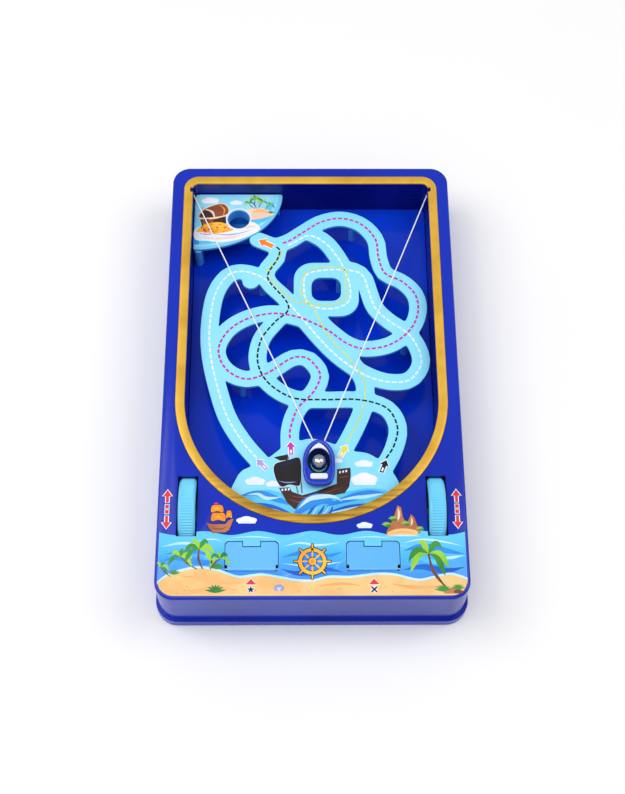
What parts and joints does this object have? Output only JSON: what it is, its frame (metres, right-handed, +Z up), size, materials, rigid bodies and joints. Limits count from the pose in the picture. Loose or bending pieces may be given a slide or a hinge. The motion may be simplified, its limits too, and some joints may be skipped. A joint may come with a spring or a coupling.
{
  "type": "string-pulled ball maze game",
  "caption": "Flat tabletop ball maze: thumbwheels wind strings that pull a boat-shaped ball carrier over raised tracks, with ball-return doors.",
  "frame": {"origin": "centre of the case's footprint, on the surface that the case stands on", "axes": "+X to the player's right, +Y away from the player along the case, +Z up"},
  "size_m": [0.194, 0.318, 0.0511],
  "materials": {
    "case_plastic": "glossy navy moulded plastic",
    "surround_plastic": "semi-gloss navy moulded plastic",
    "floor_plastic": "semi-gloss bright blue moulded plastic",
    "gold_trim": "satin gold hot-stamped trim",
    "printed_label": "laminated printed sheet with sea and sand",
    "track_plastic": "satin light cyan plastic with printed dashes",
    "island_print": "satin cyan plastic with a printed island scene",
    "inner_plastic": "natural white moulded plastic",
    "boat_blue": "glossy blue moulded plastic",
    "boat_white": "glossy white moulded plastic",
    "ball_steel": "polished steel",
    "wheel_plastic": "semi-gloss sky blue moulded plastic",
    "pin_steel": "plain drawn steel wire",
    "guide_plastic": "smooth dark blue moulded plastic",
    "string_white": "twisted white cotton cord",
    "door_plastic": "semi-gloss sky blue moulded plastic"
  },
  "bodies": {
    "root": {"base_tray": "case_plastic", "top_cover": "case_plastic", "window_bezel": "gold_trim", "face_label": "printed_label", "playfield_surround": "surround_plastic", "playfield_floor": "floor_plastic", "maze_track": "track_plastic", "treasure_island": "island_print", "goal_chute": "inner_plastic", "win_tray": "inner_plastic", "lose_tray": "inner_plastic", "string_guide_left": "guide_plastic", "string_guide_right": "guide_plastic", "pull_string_left": "string_white", "pull_string_right": "string_white", "win_door_pin": "pin_steel", "lose_door_pin": "pin_steel", "case_screw_rear_left": "pin_steel", "case_screw_rear_middle": "pin_steel", "case_screw_rear_right": "pin_steel", "case_screw_front_left": "pin_steel", "case_screw_front_middle": "pin_steel", "case_screw_front_right": "pin_steel"},
    "left_wheel": {"thumbwheel_left": "wheel_plastic", "wheel_axle_left": "pin_steel", "string_spool_left": "inner_plastic"},
    "right_wheel": {"thumbwheel_right": "wheel_plastic", "wheel_axle_right": "pin_steel", "string_spool_right": "inner_plastic"},
    "boat": {"boat_hull": "boat_blue", "boat_bow_deck": "boat_white", "boat_seat": "boat_white"},
    "ball": {"steel_ball": "ball_steel"},
    "win_door": {"win_door": "door_plastic"},
    "lose_door": {"lose_door": "door_plastic"}
  },
  "joints": [
    {"name": "left_wheel_turn", "type": "hinge", "parent": "root", "child": "left_wheel", "pos_m": [-0.0767, -0.097, 0.0271], "axis": [1, 0, 0], "range_deg": [0, 1050]},
    {"name": "right_wheel_turn", "type": "hinge", "parent": "root", "child": "right_wheel", "pos_m": [0.0767, -0.097, 0.0271], "axis": [1, 0, 0], "range_deg": [0, 1050]},
    {"name": "boat_travel", "type": "slide", "parent": "root", "child": "boat", "axis": [0, 1, 0], "range_m": [0, 0.15], "deforming": ["pull_string_left", "pull_string_right"]},
    {"name": "ball_lift", "type": "slide", "parent": "boat", "child": "ball", "axis": [0, 0, 1], "range_m": [0, 0.03]},
    {"name": "win_door_hinge", "type": "hinge", "parent": "root", "child": "win_door", "pos_m": [-0.03675, -0.1376, 0.0422], "axis": [1, 0, 0], "range_deg": [0, 95]},
    {"name": "lose_door_hinge", "type": "hinge", "parent": "root", "child": "lose_door", "pos_m": [0.03675, -0.1376, 0.0422], "axis": [1, 0, 0], "range_deg": [0, 95]}
  ],
  "couplings": [
    {"joint": "right_wheel_turn", "follows": "left_wheel_turn", "ratio": 1},
    {"joint": "boat_travel", "follows": "left_wheel_turn", "m_per_rad": 0.00817}
  ]
}
